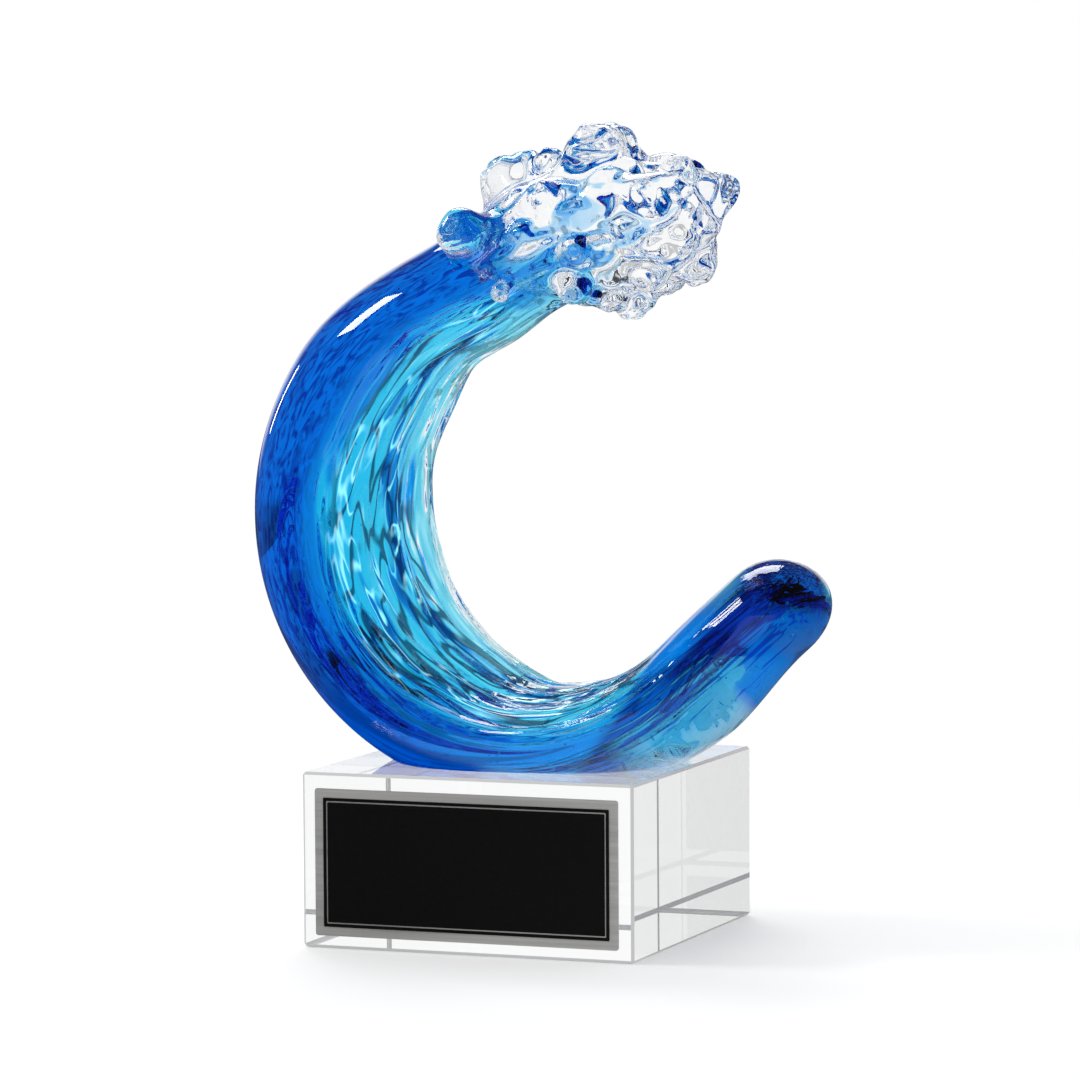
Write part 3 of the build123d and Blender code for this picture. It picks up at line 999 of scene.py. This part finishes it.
def crystalMaterial():
    # polished faces and finely ground bevels, which glow with painted light
    material, start = newMaterial("crystalGlass")
    place = start.node("ShaderNodeTexCoord", out=3)
    inset = []
    for i, (low, high) in enumerate(zip(*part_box("base_block"))):
        part = start.node("ShaderNodeSeparateXYZ", sockets={0: place}, out=i)
        inset.append((high - low) / 2 - (part - (low + high) / 2).math("ABSOLUTE"))
    x, y, z = inset
    second = x.math("MINIMUM", y).math("MAXIMUM", x.math("MAXIMUM", y).math("MINIMUM", z))
    bevel = second.math("LESS_THAN", crystal["bevel"])
    polished = start.node("ShaderNodeBsdfPrincipled", sockets={
        "Base Color": crystal["colour"], "Roughness": 0.0, "IOR": glassIndex, "Transmission Weight": 1.0})
    ground = start.node("ShaderNodeBsdfPrincipled", sockets={
        "Base Color": crystal["bevelColour"], "Roughness": crystal["bevelRoughness"],
        "Emission Color": crystal["bevelPaintedLight"], "Emission Strength": 1.0})
    finishMaterial(start, start.node("ShaderNodeMixShader", sockets={0: bevel, 1: polished, 2: ground}))
    return material


# the plate's layers: colours and roughness between which the grain runs
brushedSheet = {
    "colours": ((0.26, 0.257, 0.25, 1), (0.62, 0.615, 0.60, 1)),
    "roughness": (0.25, 0.2),       # least, and what the grain adds
    "metallic": 0.45,
    "stretch": (14, 400, 900),      # grain lines per metre
    "detail": 3.0,
}
blackEnamel = {
    "colours": ((0.003, 0.003, 0.003, 1), (0.006, 0.006, 0.006, 1)),
    "roughness": (0.3, 0.1),
    "gloss": 0.05,
    "scale": 900.0,
    "detail": 2.0,
}
plateTape = {
    "colours": ((0.80, 0.80, 0.79, 1), (0.86, 0.86, 0.85, 1)),
    "roughness": 0.5,
    # painted light: a faint glow that lifts the tape, standing in for the light it gets through the block
    "glow": (0.2, 0.2, 0.2, 1),
    "scale": 300.0,
}


def brushedMaterial():
    material, start = newMaterial("brushedSheet")
    place = start.node("ShaderNodeTexCoord", out=3)
    stretch = start.node("ShaderNodeMapping", sockets={"Vector": place, "Scale": brushedSheet["stretch"]})
    grain = start.node("ShaderNodeTexNoise", sockets={
        "Vector": stretch, "Scale": 1.0, "Detail": brushedSheet["detail"]})
    least, more = brushedSheet["roughness"]
    shader = start.node("ShaderNodeBsdfPrincipled", sockets={
        "Base Color": grain.blend(*brushedSheet["colours"]), "Roughness": grain * more + least,
        "Metallic": brushedSheet["metallic"]})
    finishMaterial(start, shader)
    return material


def enamelMaterial():
    material, start = newMaterial("blackEnamel")
    place = start.node("ShaderNodeTexCoord", out=3)
    grain = start.node("ShaderNodeTexNoise", sockets={
        "Vector": place, "Scale": blackEnamel["scale"], "Detail": blackEnamel["detail"]})
    least, more = blackEnamel["roughness"]
    shader = start.node("ShaderNodeBsdfPrincipled", sockets={
        "Base Color": grain.blend(*blackEnamel["colours"]), "Roughness": grain * more + least,
        "Specular IOR Level": blackEnamel["gloss"]})
    finishMaterial(start, shader)
    return material


# the tape's glow is painted light
def tapeMaterial():
    material, start = newMaterial("plateTape")
    place = start.node("ShaderNodeTexCoord", out=3)
    grain = start.node("ShaderNodeTexNoise", sockets={"Vector": place, "Scale": plateTape["scale"]})
    shader = start.node("ShaderNodeBsdfPrincipled", sockets={
        "Base Color": grain.blend(*plateTape["colours"]), "Roughness": plateTape["roughness"],
        "Emission Color": plateTape["glow"], "Emission Strength": 1.0})
    finishMaterial(start, shader)
    return material


def dress(piece, material, nodes=()):
    piece.data.materials.clear()
    piece.data.materials.append(material)
    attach(piece, "root")
    if nodes:
        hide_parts(*nodes)


def paintNode(name, material):
    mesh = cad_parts[name].data
    mesh.materials.clear()
    mesh.materials.append(material)


studio = {
    "floorHalf": 9.0,
    "floorDrop": 0.0002,
    "floorColour": (0.88, 0.88, 0.88, 1),
    "floorRoughness": 0.7,
    "floorGlow": 0.25,      # share of plain white near the object, as the camera sees it
    "whiteZone": (0.12, 0.4),       # metres from the object, where the floor turns white
    "tableShare": 0.95,     # of the white table, seen through the glass
    "tableZone": (0.7, 1.2),
    "flagCount": 3.0,
    "flagColour": (0.07, 0.09, 0.13, 1),
    "flagEdges": (-0.95, -0.2),
    "mirrorColour": (0.06, 0.06, 0.07, 1),
    "frontColour": (0.5, 0.5, 0.5, 1),
    "frontZone": (-0.7, -0.95),
    "backZone": (0.86, 0.97),
    "backHeight": (0.12, 0.3),
    "ringColour": (0.04, 0.042, 0.045, 1),
    "ringHeight": 0.29,     # sine of the height of the lowest dark ring
    "ringPitch": 15.3,
    "ringEdges": (-0.1, 0.7),
    "ringStart": (0.18, 0.22),
    "ringFull": (0.35, 0.6),
    "lowRing": 0.45,        # how dark the lowest ring is
}
# place, what it points at and size in metres, power in watts
studioLamps = {
    "keySoftbox": ((-1.31, -0.33, 1.10), (0, 0, 0.16), (0.54, 0.34), 10.0),
    "lowStrip": ((-1.38, 0.84, 0.42), (0, 0, 0.14), (0.06, 0.24), 0.6),
    "topSoftbox": ((-0.6, 1.2, 1.35), (0, 0, 0.05), (1.0, 0.7), 12.0),
}
# glass behind glass needs more than the usual number
lightBounces = {
    "max_bounces": 32,
    "glossy_bounces": 24,
    "transmission_bounces": 24,
    "transparent_max_bounces": 24,
}


def areaLamp(name, place, target, size, power):
    data = bpy.data.lights.new(name, "AREA")
    data.shape = "RECTANGLE"
    data.size, data.size_y = size
    data.energy = power
    lamp = bpy.data.objects.new(name, data)
    lamp.location = place
    lamp.visible_transmission = False
    lamp.rotation_euler = (Vector(target) - Vector(place)).to_track_quat("-Z", "Y").to_euler()
    scene.collection.objects.link(lamp)


def lightPaths(start):
    # rays from the camera, in a mirror and through glass
    rays = start.tree.nodes.new("ShaderNodeLightPath")
    seen, glossy, through = (Sock(start.tree, rays.outputs[f"Is {name} Ray"])
                             for name in ("Camera", "Glossy", "Transmission"))
    return seen, glossy * (1.0 - through), through


def viewBearing(start, place):
    # angle round the object from straight behind it, as the camera sees it
    east, north = (start.node("ShaderNodeSeparateXYZ", sockets={0: place}, out=i) for i in range(2))
    return east.math("ARCTAN2", north) + math.radians(viewpoint["azimuth"])


def floorMaterial():
    material, start = newMaterial("studioFloor")
    seen, mirrored, through = lightPaths(start)
    place = start.node("ShaderNodeTexCoord", out=3)
    away = start.node("ShaderNodeVectorMath", {"operation": "LENGTH"}, {0: place}, 1)
    bearing = viewBearing(start, place)
    paper = start.node("ShaderNodeBsdfPrincipled", sockets={
        "Base Color": studio["floorColour"], "Roughness": studio["floorRoughness"]})
    glow = start.node("ShaderNodeEmission", sockets={"Color": white, "Strength": 1.0})
    share = away.between(*studio["whiteZone"]) * (1.0 - studio["floorGlow"]) + studio["floorGlow"]
    plain = start.node("ShaderNodeMixShader", sockets={0: seen * share, 1: paper, 2: glow})
    # white panels all round, with dark flags between them, beyond the white table
    panels = (bearing * studio["flagCount"]).math("COSINE").between(*studio["flagEdges"])
    cards = (1.0 - away.between(*studio["tableZone"])).math("MAXIMUM", panels)
    cards = cards.blend(studio["flagColour"], white)
    ahead = bearing.math("COSINE").between(*studio["frontZone"])
    ahead = ahead.blend(studio["mirrorColour"], studio["frontColour"])
    table = start.node("ShaderNodeEmission", sockets={
        "Color": mirrored.blend(cards, ahead), "Strength": 1.0})
    shader = start.node("ShaderNodeMixShader", sockets={
        0: through * studio["tableShare"] + mirrored, 1: plain, 2: table})
    finishMaterial(start, shader)
    return material


def makeFloor():
    half = studio["floorHalf"]
    mesh = bpy.data.meshes.new("studioFloor")
    corners = [(-half, -half, 0), (half, -half, 0), (half, half, 0), (-half, half, 0)]
    mesh.from_pydata(corners, [], [(0, 1, 2, 3)])
    floor = newPiece("studioFloor", mesh)
    floor.location.z = -studio["floorDrop"]
    mesh.materials.append(floorMaterial())


def makeWorld():
    # white all round, with dark rings that only glass shows
    world = bpy.data.worlds.new("studioWorld")
    scene.world = world
    world.use_nodes = True
    world.node_tree.nodes.clear()
    start = Sock(world.node_tree)
    seen, mirrored, through = lightPaths(start)
    place = start.node("ShaderNodeTexCoord", out=0)
    height = start.node("ShaderNodeSeparateXYZ", sockets={0: place}, out=2)
    ring = ((height - studio["ringHeight"]) * studio["ringPitch"]).math("COSINE")
    ring = ring.between(*studio["ringEdges"]) * height.between(*studio["ringStart"]) * through
    ring = ring * (height.between(*studio["ringFull"]) * (1.0 - studio["lowRing"]) + studio["lowRing"])
    shade = ring.blend(white, studio["ringColour"])
    behind = viewBearing(start, place).math("COSINE").between(*studio["backZone"])
    behind = behind * (1.0 - height.between(*studio["backHeight"]))
    shade = mirrored.blend(shade, behind.blend(studio["mirrorColour"], white))
    glow = start.node("ShaderNodeBackground", sockets={"Color": seen.blend(shade, white), "Strength": 1.0})
    output = start.tree.nodes.new("ShaderNodeOutputWorld")
    start.plug(output.inputs[0], glow)


def makeStudio():
    scene.view_settings.view_transform = "Standard"
    makeFloor()
    makeWorld()
    for name, lamp in studioLamps.items():
        areaLamp(name, *lamp)
    for name, count in lightBounces.items():
        setattr(scene.cycles, name, count)


makeCamera()
makeStudio()
print("camera, floor and lights ready")
skin = buildSkin()
dress(skin, glassMaterial(), ["clear_casing", "crest_core", "foot_glue"] + beadNodes)
core = buildBlueCore()
dress(core, coreMaterial("blueVolume", blueCore), ["wave_body"])
dress(buildWisps(), coreMaterial("wispVolume", blueWisps))
air = bubbleMaterial()
dress(buildBubbles(core, air), air)
print("wave ready")
paintNode("base_block", crystalMaterial())
paintNode("plate_tape", tapeMaterial())
paintNode("plate_sheet", brushedMaterial())
enamel = enamelMaterial()
paintNode("plate_black_band", enamel)
paintNode("plate_black_field", enamel)
print("block and plate ready")
print("scene finished")
